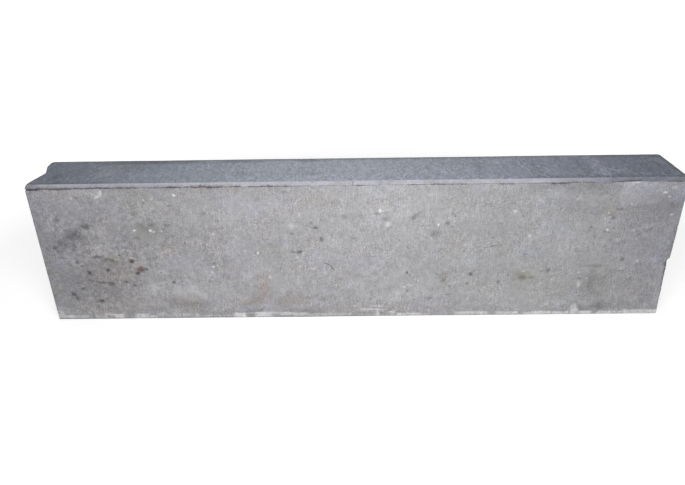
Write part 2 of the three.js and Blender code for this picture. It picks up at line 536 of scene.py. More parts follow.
# %% List the scabs of pale skin
SKIN_PROUD = 0.35
FOOT_SKIN = (
    # from, to, lower edge, upper edge, strength
    (-503, -489, 2, 17, 0.55), (-496, -468, 3, 8, 0.75), (-472, -448, 3.5, 7.5, 0.45),
    (-438, -416, 2.5, 7.5, 0.45), (-420, -402, 7.2, 10.6, 0.7), (-404, -389, 2, 9.8, 0.85),
    (-370, -348, 1, 9.6, 0.74), (-350, -333, 1, 6.5, 0.6), (-335, -317, 4.5, 11.5, 0.35),
    (-317, -272, 3, 9, 0.22), (-269, -263, 1.5, 10, 0.5), (-250, -206, 3.2, 6, 0.32),
    (-204, -184, 0.6, 9.8, 0.9), (-184, -168, 7.6, 10.4, 0.6), (-168, -140, 0.8, 11, 0.9),
    (-141, -127, 6.5, 11.5, 0.6), (-129, -100, 4, 10, 0.66), (-104, -80, 3, 9, 0.6),
    (-80, -61, 1.5, 7.5, 0.46), (-62, -8, 2.2, 7.5, 0.38), (34, 38, 1, 12, 0.9), (56, 63, 6, 10, 0.7),
    (66, 108, 1.3, 6, 0.65), (108, 124, 1.3, 4, 0.3), (164, 221, 2, 8, 0.65), (232, 269, 2.2, 7, 0.7),
    (279, 296, 0.8, 4.6, 0.75), (292, 324, 1.5, 7, 0.85), (324, 356, 0.8, 6.2, 0.9),
    (357, 368, 0.8, 13, 0.8), (370, 392, 0.8, 7, 0.85), (402, 425, 0.8, 6.6, 0.8),
    (424, 444, 1.6, 5.6, 0.65), (444, 500, 0.6, 8.6, 1),
)
SKIN_TOP = 20.0
print(len(FOOT_SKIN), "scabs of skin")

# %% Paint the foot
SKIN_END = 4.0
SKIN_EDGE = 1.0
SKIN_RAGGED, SKIN_RAGGED_LENGTH, SKIN_RAGGED_HEIGHT, SKIN_ROW = 0.8, 8.0, 5.0, 5.7
LOWER_EDGE_SHARE = 0.5
FOOT_SHADE = 0.8
FOOT_SHADE_HEIGHT = (0.7, 2.0)
FOOT_SHADE_FADE = (-150.0, 340.0)


def foot_skin(along, up):
    """How much pale skin there is at a point of the foot."""
    most = 0.0
    place = Vector((along / SKIN_RAGGED_LENGTH, up / SKIN_RAGGED_HEIGHT, SKIN_ROW))
    uneven_edge = SKIN_RAGGED * noise.noise(place)
    for start, end, low, high, strength in FOOT_SKIN:
        here = smooth(start - SKIN_END, start + SKIN_END, along)
        here *= smooth(-end - SKIN_END, -end + SKIN_END, -along)
        if here:
            lower = smooth(low - SKIN_EDGE, low + SKIN_EDGE, up + LOWER_EDGE_SHARE * uneven_edge)
            upper = smooth(-high - SKIN_EDGE, -high + SKIN_EDGE, uneven_edge - up)
            most = max(most, strength * here * lower * upper)
    return most


def foot_shade(along, up):
    """Painted shade on the lowest edge, where it turns under; it fades out towards the right end."""
    return FOOT_SHADE * (1 - smooth(*FOOT_SHADE_HEIGHT, up)) * (1 - smooth(*FOOT_SHADE_FADE, along))


print(f"skin at the left end: {foot_skin(LEFT, GRIT):.2f}")

# %% [markdown]
# ## The broken corner
# A knock took a long sliver off the right front corner: widest under a small ledge, tapering to nothing
# at the foot. Broken concrete is neither flat nor round, so the break lies halfway between a scoop and a
# flat cut, with grains standing out of it.

# %% Shape the break
BREAK_START = 0.8
BREAK_TAPER = 0.055
BREAK_BITE = 1.4
BREAK_BITE_RANGE = (90.0, 96.0)
LEDGE = (97.5, 108.5)
SCOOP = 0.45
LEAST_BREAK = 0.3
BREAK_RAGGED, BREAK_RAGGED_SIZE = 0.28, 5.0
GRAIN_SHARE = 0.4


def break_radius(up):
    """How far the break reaches from the corner at a height."""
    bite = BREAK_BITE * smooth(*BREAK_BITE_RANGE, up)
    return (BREAK_START + BREAK_TAPER * up + bite) * (1 - smooth(*LEDGE, up))


def broken_corner(point):
    """The point pushed back onto the break, and how much of the break's look it has."""
    depth, from_end = point.y - FRONT, RIGHT - point.x
    up = point.z
    cell = Vector([value / BREAK_RAGGED_SIZE for value in (depth, from_end, up)])
    radius = break_radius(up) * (1 + BREAK_RAGGED * noise.noise(cell))
    if radius < LEAST_BREAK or math.hypot(depth, from_end) > radius:
        return point, 0.0
    share = 0.5 + 0.5 * (from_end - depth) / radius
    angle = share * math.pi / 2
    scoop = Vector((math.sin(angle), math.cos(angle))) * radius
    flat = Vector((share, 1 - share)) * radius
    grains = Vector((1, 1)) * GRAIN_SHARE * waves(point, ROUGH_WAVES)
    back_end, back_depth = flat.lerp(scoop, SCOOP) + grains
    return Vector((RIGHT - back_end, FRONT + back_depth, up)), 1.0


print(f"widest at the ledge: {break_radius(LEDGE[0]):.1f} mm")

# %% [markdown]
# ## Pits, crack and chip as depths
# Each small hollow is a function that gives its depth at a point: a bowl for a pit, a groove along two
# lines for the crack, a flat dish for the chip. Asking every pit at every point would take minutes, so
# the pits are sorted into cells, as letters into pigeonholes, and a point only asks its own cell.

# %% Sort the pits into cells
CELL = 12.0
AROUND = (-1, 0, 1)


def cell_of(point):
    """The cell that a point lies in, as three whole numbers."""
    return tuple(math.floor(value / CELL) for value in point)


near_pits = {}
for pit in pits:
    home = cell_of(pit[0])
    for step in ((x, y, z) for x in AROUND for y in AROUND for z in AROUND):
        cell = tuple(start + move for start, move in zip(home, step))
        near_pits.setdefault(cell, []).append(pit)
print("most pits in one cell:", max(len(found) for found in near_pits.values()))

# %% Give each hollow its depth
PIT_RAGGED, PIT_RAGGED_SIZE = 0.35, 2.3
PIT_SHADE_AND_DIRT_SPREAD = 1.6
CRACK_HALF = 0.9
CRACK_DEPTH = 0.7
CHIP_RAGGED, CHIP_RAGGED_SIZE = 0.3, 3.0
CHIP_EDGE = (0.6, 1.0)


def pit_depth(point):
    """Depth of the pits at a point, and how dark the pits draw it, as painted shade and dirt."""
    deepest, inside = 0.0, 0.0
    for spot, radius, depth, shade_and_dirt in near_pits.get(cell_of(point), ()):
        ragged = radius * (1 + PIT_RAGGED * noise.noise(point / PIT_RAGGED_SIZE))
        share = max(0.0, 1 - (point - spot).length_squared / ragged ** 2)
        deepest = max(deepest, depth * share)
        inside = max(inside, shade_and_dirt * min(1.0, PIT_SHADE_AND_DIRT_SPREAD * share))
    return deepest, inside


def crack_depth(point):
    """Depth of the crack at a point."""
    nearest = CRACK_HALF
    for start, end in zip(CRACK, CRACK[1:]):
        run = end - start
        share = min(1.0, max(0.0, (point - start).dot(run) / run.length_squared))
        nearest = min(nearest, (point - start - run * share).length)
    return CRACK_DEPTH * (1 - nearest / CRACK_HALF)


def chip_depth(point):
    """Depth of the chip at a point."""
    centre, half, depth = CHIP
    off = math.hypot((point.x - centre.x) / half.x, (point.z - centre.z) / half.z)
    off += CHIP_RAGGED * noise.noise(point / CHIP_RAGGED_SIZE)
    return depth * (1 - smooth(*CHIP_EDGE, off))


print(f"deepest pit {max(depth for _, _, depth, _ in pits):.1f} mm, chip {chip_depth(CHIP[0]):.1f} mm")

# %% [markdown]
# ## Putting the relief on
# Every point moves in along its own normal by the depth of what is there. Five numbers are painted on
# the points at the same time, because the finish has to follow the form: how dark a pit or the crack is
# drawn, as painted shade and dirt; where the concrete is broken; where the foot's pale skin is; how dark
# the seam and the foot's lowest edge are drawn, as painted shade with dirt in the seam; and where dirt
# smears out of the seam.

# %% Name the faces and the painted numbers
block.normal_update()
# the upright faces keep the first finish, 0
TOP, BEVEL, BREAK, BASE = 1, 2, 3, 4
UPWARD = 0.5
for face in block.faces:
    middle, normal = face.calc_center_median(), face.normal
    if normal.z > UPWARD:
        face.material_index = BEVEL if middle.y < FRONT + BEVEL_REACH else TOP
    elif normal.z < -UPWARD:
        face.material_index = BASE
hollow, broken, skin, shade_and_grime, smeared = (
    block.verts.layers.float.new(name) for name in ("hollow", "broken", "skin", "shade_and_grime", "smeared"))
print("top faces:", sum(face.material_index == TOP for face in block.faces))

# %% Push every point in by its relief
SMEAR_RISE, SMEAR_HALF = 1.2, 2.6
SHADE_AND_DIRT_EDGE, SMEAR_EDGE = (0.45, 1.25), (0.3, 1.1)
RAGGED_SHADE_AND_DIRT, RAGGED_SHADE_AND_DIRT_SIZE = 0.5, 2.6
FACE_DEPTH = 0.6
CRACK_SHADE_AND_DIRT = 1.5

for vert in block.verts:
    point, normal = vert.co.copy(), vert.normal.copy()
    depth = waves(point, FACE_WAVES)
    on_front = point.y < FRONT + FACE_DEPTH and point.z < BEVEL_FOOT + PARALLEL
    pitted, inside = pit_depth(point)
    depth += pitted
    # how dark a pit is drawn here: painted shade and dirt
    vert[hollow] = inside
    if point.y < FRONT + BEVEL_REACH and point.z > HEIGHT - SEAM_ZONE:
        line, half, seam_deep, shade_and_dirt, smear = seam(point.x)
        down = abs(point.z - line) / half
        near = abs(point.z - line - SMEAR_RISE) / SMEAR_HALF
        ragged_edge = RAGGED_SHADE_AND_DIRT * noise.noise(point / RAGGED_SHADE_AND_DIRT_SIZE)
        depth += seam_deep * max(0.0, 1 - down ** 2)
        # the seam is drawn dark: painted shade and dirt in the groove
        vert[shade_and_grime] = shade_and_dirt * (1 - smooth(*SHADE_AND_DIRT_EDGE, down + ragged_edge))
        vert[smeared] = smear * (1 - smooth(*SMEAR_EDGE, near + ragged_edge))
    if on_front:
        if point.z < SKIN_TOP:
            vert[skin] = foot_skin(point.x, point.z)
            # the lowest edge is drawn dark: painted shade where it turns under
            vert[shade_and_grime] = foot_shade(point.x, point.z)
        depth += crack_depth(point) + chip_depth(point)
        depth += SKIN_PROUD * (1 - vert[skin]) * (1 - smooth(HEIGHT - SEAM_ZONE, BEVEL_FOOT, point.z))
        # the crack is drawn dark too: painted shade and dirt in it
        vert[hollow] = max(inside, min(1.0, CRACK_SHADE_AND_DIRT * crack_depth(point) / CRACK_DEPTH))
    moved = point - normal * depth
    moved, share = broken_corner(moved)
    vert[broken] = share
    vert.co = moved
for face in block.faces:
    if sum(vert[broken] for vert in face.verts) > len(face.verts) / 2:
        face.material_index = BREAK
print("triangles:", sum(len(face.verts) - 2 for face in block.faces))

# %% [markdown]
# ## From block to piece
# Faces are shaded smooth, apart from edges that really are edges. The finished mesh goes to metres, with
# its object at the origin, and stands for the stone of the model.

# %% Finish the piece
SHARP = math.radians(38)
for face in block.faces:
    face.smooth = True
for edge in block.edges:
    edge.smooth = edge.calc_face_angle(0.0) < SHARP
bmesh.ops.scale(block, vec=(MM, MM, MM), verts=block.verts)
kerb_data = bpy.data.meshes.new("kerb")
block.to_mesh(kerb_data)
block.free()
kerb = bpy.data.objects.new("kerb", kerb_data)
bpy.context.scene.collection.objects.link(kerb)
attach(kerb, "root")
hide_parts("kerb_stone")
print("piece:", kerb.name, "with", len(kerb_data.vertices), "points")

# %% [markdown]
# ## Patterns that every concrete finish is made from
# Concrete is grey paste over sand and stone, and its look is many weak patterns of very different size: a
# hand's width for how damp it is, a coin's width for how the fill packed, and a grain for the sand. Each
# is a noise with a real size in millimetres. Object coordinates in metres are brought to millimetres
# once, so that every size below can be read as it is. A noise texture has about 1.6 cells from one crest
# to the next, so that is its scale once the place has been divided by the size.

# %% Bring the place to millimetres
def place_in_mm(tree):
    """Where the shaded point lies on the stone, in millimetres."""
    place = add(tree, "TexCoord").outputs["Object"]
    return add(tree, "VectorMath", {0: place, "Scale": 1 / MM}, operation="SCALE").outputs["Vector"]


print("one metre is", round(1 / MM), "mm")

# %% Define the noises
NOISE_SCALE = 1.6
PLAIN, SOFT_DETAIL, FINE_DETAIL = 1.0, 2.0, 3.0
LEAST, MOST = 0.3, 0.7
SPECK_TOP, SPECK_EDGE = 0.72, 0.07
FACE_PATCH = (80, 80, 60)


def noise_of(tree, place, size, detail):
    """A noise whose crests lie about one size apart, in millimetres along X, Y and Z."""
    cells = add(tree, "VectorMath", {0: place, 1: size}, operation="DIVIDE").outputs["Vector"]
    return add(tree, "TexNoise", {"Vector": cells, "Scale": NOISE_SCALE, "Detail": detail}).outputs


def uneven(tree, place, size, low, high, detail=SOFT_DETAIL):
    """A random soft change from low to high."""
    field = noise_of(tree, place, size, detail)["Fac"]
    return add(tree, "MapRange", {"Value": field, "From Min": LEAST, "From Max": MOST,
                                  "To Min": low, "To Max": high}, clamp=False).outputs["Result"]


def specks(tree, place, size, share, strength):
    """Small separate spots: the crests of a noise. The share says about how much of the face they take."""
    field = noise_of(tree, place, size, PLAIN)["Fac"]
    level = SPECK_TOP - share
    return add(tree, "MapRange", {"Value": field, "From Min": level, "From Max": level + SPECK_EDGE,
                                  "To Min": 0.0, "To Max": strength},
               interpolation_type="SMOOTHSTEP", clamp=False).outputs["Result"]


def grainy(tree, place, size, least, most):
    """Light and dark of grains round 1, in some areas weaker and in others stronger."""
    amount = uneven(tree, place, FACE_PATCH, least, most)
    grain = uneven(tree, place, size, -1.0, 1.0, FINE_DETAIL)
    return add(tree, "Math", {0: grain, 1: amount, 2: 1.0}, operation="MULTIPLY_ADD").outputs[0]


def ragged(tree, place, size, reach):
    """The place pushed about at random, which gives whatever is drawn from it a ragged edge."""
    push = noise_of(tree, place, (size,) * 3, SOFT_DETAIL)["Color"]
    centred = add(tree, "VectorMath", {0: push, 1: (0.5,) * 3}, operation="SUBTRACT").outputs["Vector"]
    return add(tree, "VectorMath", {0: centred, 1: (2 * reach,) * 3, 2: place},
               operation="MULTIPLY_ADD").outputs["Vector"]


print("the broadest change of a grain's strength is", FACE_PATCH, "mm from crest to crest")

# %% [markdown]
# ## Marks with a place
# Stains, knocks, damp patches and painted light and shade sit where they sit, so they are given one by
# one: a spot by its middle and its half sizes, a stroke by its two ends. Each becomes a soft ellipsoid in
# the stone that only just reaches below its face, so a mark on the front can't show on the back. A texture
# image would hold them all at once, but it would have a fixed sharpness, and a mark could no longer be
# moved by its number.

# %% Say where a mark lies
DEEP = 20.0


def spot(along, up, half_along, half_up, strength=1.0):
    """A mark on the front face: its middle, its half sizes, its turn and its strength."""
    return (along, FRONT, up), (half_along, DEEP, half_up), 0.0, strength


def stroke(start_along, start_up, end_along, end_up, half_width, strength=1.0):
    """A long mark on the front face between two points."""
    run_along, run_up = end_along - start_along, end_up - start_up
    middle = ((start_along + end_along) / 2, FRONT, (start_up + end_up) / 2)
    half_length = math.hypot(run_along, run_up) / 2 + half_width
    return middle, (half_length, DEEP, half_width), math.atan2(-run_up, run_along), strength


def top_spot(along, across, half_along, half_across, strength=1.0):
    """A mark on the top face."""
    return (along, across, HEIGHT), (half_along, half_across, DEEP), 0.0, strength


print("a stroke leans by", round(math.degrees(stroke(0, 0, 10, 10, 1)[2])), "degrees")

# %% Make the node group for one mark
mark_group = bpy.data.node_groups.new("one_mark", "ShaderNodeTree")
for title, kind in (("Place", "Vector"), ("Middle", "Vector"), ("Half sizes", "Vector"),
                    ("Core", "Float"), ("Strength", "Float"), ("Cover", "Float")):
    mark_group.interface.new_socket(title, in_out="INPUT", socket_type="NodeSocket" + kind)
mark_group.interface.new_socket("Cover", in_out="OUTPUT", socket_type="NodeSocketFloat")
given = mark_group.nodes.new("NodeGroupInput").outputs
offset = add(mark_group, "VectorMath", {0: given["Place"], 1: given["Middle"]}, operation="SUBTRACT")
shares = add(mark_group, "VectorMath", {0: offset.outputs["Vector"], 1: given["Half sizes"]},
             operation="DIVIDE")
off = add(mark_group, "VectorMath", {0: shares.outputs["Vector"]}, operation="LENGTH")
fade = add(mark_group, "MapRange", {"Value": off.outputs["Value"], "From Min": 1.0, "To Min": 0.0,
                                    "From Max": given["Core"], "To Max": given["Strength"]},
           interpolation_type="SMOOTHSTEP", clamp=False)
larger = add(mark_group, "Math", {0: fade.outputs["Result"], 1: given["Cover"]}, operation="MAXIMUM")
mark_group.links.new(larger.outputs[0], mark_group.nodes.new("NodeGroupOutput").inputs["Cover"])
print("mark group:", len(mark_group.nodes), "nodes")

# %% Lay marks over each other
def patches(tree, place, kind, marks, core):
    """How strongly a point is covered by marks of a kind. The core is the share of a mark with no fade."""
    cover = 0.0
    for middle, half_sizes, turn, strength in (kind(*mark) for mark in marks):
        level = place
        if turn:
            level = add(tree, "VectorRotate", {"Vector": place, "Center": middle, "Angle": turn},
                        rotation_type="Y_AXIS", invert=True).outputs["Vector"]
        mark = add(tree, "Group", {"Place": level, "Middle": middle, "Half sizes": half_sizes, "Core": core,
                                   "Strength": strength, "Cover": cover}, node_tree=mark_group)
        cover = mark.outputs["Cover"]
    return cover


print("where two marks meet, the stronger one shows")

# %% [markdown]
# ## One way to put a finish together
# Every finish here is the same recipe: a base colour, coats laid over it where something covers it, tones
# that make it lighter and darker, a relief for the fine grain, and a roughness that changes a little from
# place to place. Five separate node trees would repeat all of that, so one function builds it, and each
# finish only says what its own coats, tones and relief are.

# %% Build a finish from its recipe
MIX_SHARE, MIX_BELOW, MIX_OVER, MIX_RESULT = 0, 6, 7, 2
ROUGHNESS_CHANGE = 0.06
DULL_PATCH = (5, 5, 5)


def concrete(name, recipe, roughness):
    """A finish. Its recipe gives a base colour, coats as (colour, cover), tones and a relief in mm."""
    finish = bpy.data.materials.new(name)
    finish.use_nodes = True
    tree = finish.node_tree
    tree.nodes.clear()
    place = place_in_mm(tree)
    base, coats, tones, relief = recipe(tree, place)
    surface = colour(base)
    for hex_code, cover in coats:
        surface = add(tree, "Mix", {MIX_SHARE: cover, MIX_BELOW: surface, MIX_OVER: colour(hex_code)},
                      data_type="RGBA").outputs[MIX_RESULT]
    for tone in tones:
        surface = add(tree, "VectorMath", {0: surface, "Scale": tone}, operation="SCALE").outputs["Vector"]
    bump = add(tree, "Bump", {"Height": relief, "Distance": MM}).outputs["Normal"]
    dull = uneven(tree, place, DULL_PATCH, roughness - ROUGHNESS_CHANGE, roughness + ROUGHNESS_CHANGE)
    shader = add(tree, "BsdfPrincipled", {"Base Color": surface, "Roughness": dull, "Normal": bump})
    add(tree, "OutputMaterial", {"Surface": shader.outputs["BSDF"]})
    kerb_data.materials.append(finish)
    return f"{name}: {len(coats)} coats, {len(tones)} tones, {len(tree.nodes)} nodes"


print("roughness changes by", ROUGHNESS_CHANGE, "either way")

# %% [markdown]
# ## Coats that follow the form
# The numbers painted on the mesh are read back here by name: painted shade and grime darken the pits and
# the crack, painted shade and dirt fill the seam, painted shade darkens the foot's lowest edge, and dirt
# smears out of the seam. More than one finish meets these places, so each coat is written once.

# %% Define the coats that follow the form
HOLLOW_SHADE_AND_GRIME, SMEARED_GREY, SEAM_SHADE_AND_GRIME = "#4a474a", "#85817e", "#4e4b51"


def shade_and_grime_in_hollows(tree, place):
    """Painted shade and grime in the pits and the crack, thicker here and thinner there."""
    inside = add(tree, "Attribute", attribute_name="hollow").outputs["Fac"]
    return HOLLOW_SHADE_AND_GRIME, uneven(tree, place, DULL_PATCH, 0.0, inside)


def seam_smear_shade_and_dirt(tree):
    """Grey smear round the seam; over it painted shade, in the seam with dirt, and on the foot's lowest
    edge.
    """
    return ((SMEARED_GREY, add(tree, "Attribute", attribute_name="smeared").outputs["Fac"]),
            (SEAM_SHADE_AND_GRIME, add(tree, "Attribute", attribute_name="shade_and_grime").outputs["Fac"]))


print("painted numbers:", ", ".join(layer.name for layer in kerb_data.attributes if layer.domain == "POINT"))

# %% [markdown]
# ## Damp, dirt and painted shade on the front
# Broad zones first. The front is darker towards both ends, the left more than the right: partly damp,
# partly painted shade where the light falls off towards the ends. Dust has gone into the foot.

# %% List the damp and shade zones and the pale zones
# broad darker zones: damp, and towards both ends painted shade where the light falls off
DAMP_AND_FALLOFF_SHADE = (
    # along, up, half along, half up, strength
    (-500, 120, 130, 200, 0.62), (-440, 75, 160, 90, 0.68), (-415, 110, 45, 34, 0.3),
    (-455, 150, 105, 66, 0.76), (-372, 120, 44, 150, 0.2), (-400, 190, 150, 90, 0.42),
    (-300, 232, 300, 52, 0.34), (-330, 150, 170, 120, 0.36), (-180, 160, 200, 90, 0.1),
    (-275, 27, 80, 20, 0.44), (-225, 10, 90, 15, 0.34), (-365, 150, 95, 66, 0.5),
    (-325, 168, 46, 30, 0.66), (-472, 105, 34, 26, 0.72), (-505, 222, 34, 30, 0.66),
    (-500, 176, 30, 34, 0.6), (-500, 46, 18, 16, 0.74), (-425, 76, 34, 22, 0.76),
    (-325, 104, 30, 18, 0.34), (42, 128, 40, 14, 0.14), (-375, 105, 32, 26, 0.48),
    (-75, 75, 28, 20, 0.14), (-225, 105, 44, 26, 0.34), (-375, 232, 34, 16, 0.44),
    (-330, 10, 42, 20, 0.54), (-175, 10, 42, 18, 0.46), (-78, 8, 36, 17, 0.42),
    (350, 240, 105, 40, 0.66), (490, 205, 200, 66, 0.57), (-365, 9, 95, 17, 0.36),
    (-100, 7, 44, 13, 0.24), (350, 9, 50, 15, 0.34), (365, 192, 60, 38, 0.46), (376, 226, 26, 18, 0.56),
    (388, 220, 18, 20, 0.34), (450, 135, 150, 60, 0.36), (430, 70, 120, 50, 0.18),
    (398, 17, 34, 14, 0.56), (450, 18, 50, 12, 0.16), (230, 18, 50, 12, 0.12), (386, 60, 38, 48, 0.4),
    (378, 10, 34, 20, 0.58), (326, 197, 36, 26, 0.5), (425, 166, 36, 26, 0.46),
    (275, 232, 36, 20, 0.42), (312, 204, 52, 40, 0.3), (322, 160, 40, 50, 0.18),
    (128, 126, 62, 34, 0.2), (148, 45, 50, 30, 0.12), (230, 200, 190, 90, 0.08),
)
PALE_ZONES = (
    (30, 110, 230, 150, 0.26), (60, 215, 120, 50, 0.26), (75, 196, 175, 44, 0.44),
    (95, 46, 170, 30, 0.42), (492, 60, 26, 60, 0.22), (-337, 56, 28, 15, 0.6), (-270, 54, 48, 15, 0.64),
    (-113, 57, 16, 13, 0.44), (12, 58, 16, 12, 0.3), (320, 20, 90, 26, 0.18), (-250, 228, 46, 16, 0.2),
    (-476, 14, 24, 14, 0.3), (-125, 42, 26, 18, 0.28), (75, 105, 30, 22, 0.4), (75, 14, 28, 14, 0.2),
    (475, 105, 20, 18, 0.2), (428, 44, 24, 18, 0.18), (484, 228, 24, 14, 0.22),
    (245, 40, 150, 60, 0.18), (330, 140, 50, 40, 0.16), (-487, 18, 22, 14, 0.22),
    (-152, 17, 12, 12, 0.4),
)
WIPED = (
    (407, 222, 6, 18, 0.46), (411, 218, 12, 24, 0.42), (427, 219, 20, 24, 0.38),
    (445, 218, 26, 20, 0.32),
)
print(len(DAMP_AND_FALLOFF_SHADE), "damp and", len(PALE_ZONES) + len(WIPED), "pale zones")

# %% List the tints
COLD_ZONES = (
    (520, 130, 170, 190, 0.28), (-515, 200, 130, 90, 0.3), (-480, 60, 60, 40, 0.2),
)
BROWN_ZONES = (
    (-152, 56, 22, 40, 0.44), (-168, 33, 38, 20, 0.5), (-108, 31, 40, 16, 0.44),
    (-280, 30, 44, 26, 0.34), (-372, 25, 18, 18, 0.3), (-297, 136, 22, 24, 0.4),
    (-55, 216, 46, 20, 0.25), (-185, 230, 30, 8, 0.35), (-395, 90, 76, 46, 0.3),
    (-390, 28, 130, 34, 0.24), (40, 12, 260, 22, 0.24), (269, 72, 22, 13, 0.5), (290, 69, 14, 10, 0.34),
    (144, 70, 16, 18, 0.3),
)
BLUE_ZONES = (
    (-60, 106, 34, 14, 0.4), (12, 106, 48, 12, 0.36), (-292, 113, 9, 8, 0.45),
    (-475, 108, 13, 18, 0.45), (-178, 17, 18, 11, 0.4), (275, 119, 36, 18, 0.45),
    (481, 102, 15, 18, 0.5), (488, 222, 18, 24, 0.45), (440, 236, 90, 14, 0.3), (-200, 82, 34, 10, 0.3),
    (130, 20, 60, 26, 0.15),
)
OLIVE_ZONES = (
    (-386, 112, 20, 12, 0.34), (-491, 56, 14, 13, 0.34), (-176, 62, 14, 10, 0.35),
    (-176, 26, 14, 6, 0.5), (-45, 33, 17, 11, 0.46), (-322, 164, 44, 20, 0.22), (144, 76, 11, 13, 0.4),
    (392, 184, 8, 8, 0.24), (266, 76, 26, 15, 0.46), (386, 58, 46, 52, 0.15), (340, 45, 190, 50, 0.06),
    (-120, 125, 60, 20, 0.18), (-330, 215, 60, 26, 0.16),
)

ALGAE_BLOOM = (
    (250, 130, 330, 200, 0.18), (330, 40, 190, 80, 0.14),
)
print("tints:", len(COLD_ZONES + BROWN_ZONES + BLUE_ZONES + OLIVE_ZONES + ALGAE_BLOOM))

# %% [markdown]
# ## Stains, knocks, specks and painted shade on the front
# The small marks, each where it is on the stone: the dark of blowholes and of the crack, which is painted
# shade and grime, bruises, two rusty grains of pyrite that have bled, bright sand grains and scuffs down
# to clean paste.

# %% List the dark marks
DARK_SPOTS = (
    # along, up, half along, half up, strength
    (-430.3, 89.6, 6, 7, 0.88), (-399.4, 94.6, 6, 4.8, 0.8), (-446.3, 109.2, 4.6, 4.8, 0.7),
    (-439.7, 102.3, 5, 3, 0.42), (-377, 121.7, 3.8, 3, 0.55), (-428, 74.5, 4.5, 3.8, 0.55),
    (-398, 69.5, 10, 7, 0.6), (-401, 113, 10, 7, 0.34), (-388, 106, 10, 8, 0.34),
    (-409, 118, 12, 6, 0.3), (-373, 71.7, 4.2, 4, 0.74), (-362.2, 65, 3.8, 3.8, 0.55),
    (-446, 60.6, 7, 3.2, 0.42), (-465, 49, 5.6, 9, 0.58), (-460, 40, 6, 7, 0.5), (-468, 43, 4, 5, 0.4),
    (-429.3, 45.4, 3, 3, 0.4), (-421.3, 35.9, 8, 4.8, 0.84), (-296.4, 70.6, 6.2, 4, 0.72),
    (-305.8, 49.5, 3, 4.2, 0.34), (-320, 63.8, 4.2, 3.2, 0.3), (-352.2, 88, 7.6, 5.6, 0.8),
    (-337.4, 95.2, 5.8, 4.2, 0.66), (-346, 94, 11, 7.5, 0.5), (-358.6, 111, 6.8, 5.5, 0.55),
    (-420.8, 173, 9.5, 8, 0.5), (-449, 155, 11, 7, 0.48), (-440, 161, 24, 11, 0.34),
    (-463.4, 183.8, 8, 6.4, 0.4), (-476.8, 136.4, 6, 6.6, 0.6), (-470.8, 130.4, 7, 4.5, 0.5),
    (-466.6, 145.4, 7, 6, 0.3), (-489, 133.6, 4.5, 6.2, 0.36), (-424.2, 221.6, 3.5, 3, 0.46),
    (-323.4, 211.4, 4.5, 4.2, 0.4), (-285, 206.2, 5, 3.2, 0.42), (-360, 200.4, 7, 6, 0.26),
    (-340.8, 193.8, 7.5, 7.5, 0.26), (-293.4, 173.8, 7.5, 4.5, 0.48), (-318.4, 174.6, 6.2, 2.5, 0.36),
    (-286.8, 154.4, 4.5, 3.8, 0.42), (-342.4, 152, 7.5, 5.8, 0.3), (-318.4, 116.4, 6.2, 5.5, 0.26),
    (-61.6, 166.4, 6.8, 4.2, 0.62), (-68.4, 175, 4.2, 5.5, 0.4), (-53.2, 145.4, 7.2, 6.5, 0.62),
    (-89.2, 124, 7, 5.2, 0.66), (-99.2, 156.2, 6.5, 3.2, 0.5), (-151.2, 123.8, 2.8, 3.2, 0.6),
    (-111.8, 176.2, 4, 3.2, 0.4), (-106.6, 227.6, 7, 3.6, 0.34), (-150, 217, 8, 7, 0.18),
    (-214.2, 179.6, 4.8, 4.5, 0.3), (-220, 166, 18, 8, 0.2), (-233.4, 193.6, 7.5, 6.2, 0.24),
    (-212.4, 148.6, 5, 4, 0.32), (-204.2, 142, 3.2, 4.8, 0.4), (-225, 92.6, 7, 7, 0.24),
    (-16.8, 184.4, 8, 6.5, 0.34), (-53.4, 179.6, 4, 3.8, 0.34), (-120.8, 93.8, 3.2, 4, 0.34),
    (-136, 138, 8, 7, 0.24), (-111.8, 42.8, 4.2, 2.8, 0.34), (-215, 79.6, 4.8, 4.8, 0.24),
    (-237.4, 72.2, 4.8, 4.8, 0.26), (46.6, 180, 9, 6, 0.3), (33, 189, 6.2, 5, 0.26),
    (90, 181, 8, 5.5, 0.32), (-2, 146, 9, 8, 0.22), (142.4, 171, 6.8, 6.2, 0.46),
    (150, 188, 3.2, 3.2, 0.46), (154, 184, 3.8, 3.2, 0.4), (151, 165, 4.8, 4, 0.4),
    (125, 153, 13, 9, 0.28), (72, 207, 5, 2.2, 0.36), (32.4, 213, 5, 2.2, 0.34),
    (242, 204.6, 5.5, 2.2, 0.36), (216, 131, 5.8, 2.2, 0.46), (83.2, 83.8, 2.2, 4.8, 0.75),
    (84, 49.6, 3.5, 3.8, 0.4), (185.2, 79.6, 6.5, 6, 0.6), (143, 69, 4.5, 4.2, 0.46),
    (152.4, 58, 5, 4.2, 0.32), (150, 42, 5.5, 4.5, 0.32), (121.6, 35, 5, 4.2, 0.36),
    (231, 65, 4, 7.2, 0.5), (43, 7, 5.8, 3.2, 0.4), (483, 199, 6.2, 8.8, 0.38),
    (396, 177.6, 6.5, 5.8, 0.5), (393, 170, 3.8, 3.2, 0.46), (404, 192, 7.5, 3.2, 0.48),
    (400, 160, 3.8, 3.2, 0.42), (387.4, 154.6, 3.8, 3.2, 0.42), (365, 162, 3.8, 3.2, 0.42),
    (374, 146, 4.5, 3.8, 0.32), (393, 128, 4.5, 3.8, 0.32), (263, 109, 9, 7, 0.18),
    (425, 103.6, 4.5, 6, 0.44), (309, 87, 6.2, 5.8, 0.46), (298, 84, 4.2, 3.8, 0.36),
    (361.6, 69, 5, 3.8, 0.4), (379, 66, 11, 15, 0.18), (269, 73, 11, 6, 0.46), (284, 72, 7, 3.6, 0.3),
    (497, 140, 8, 60, 0.16),
)
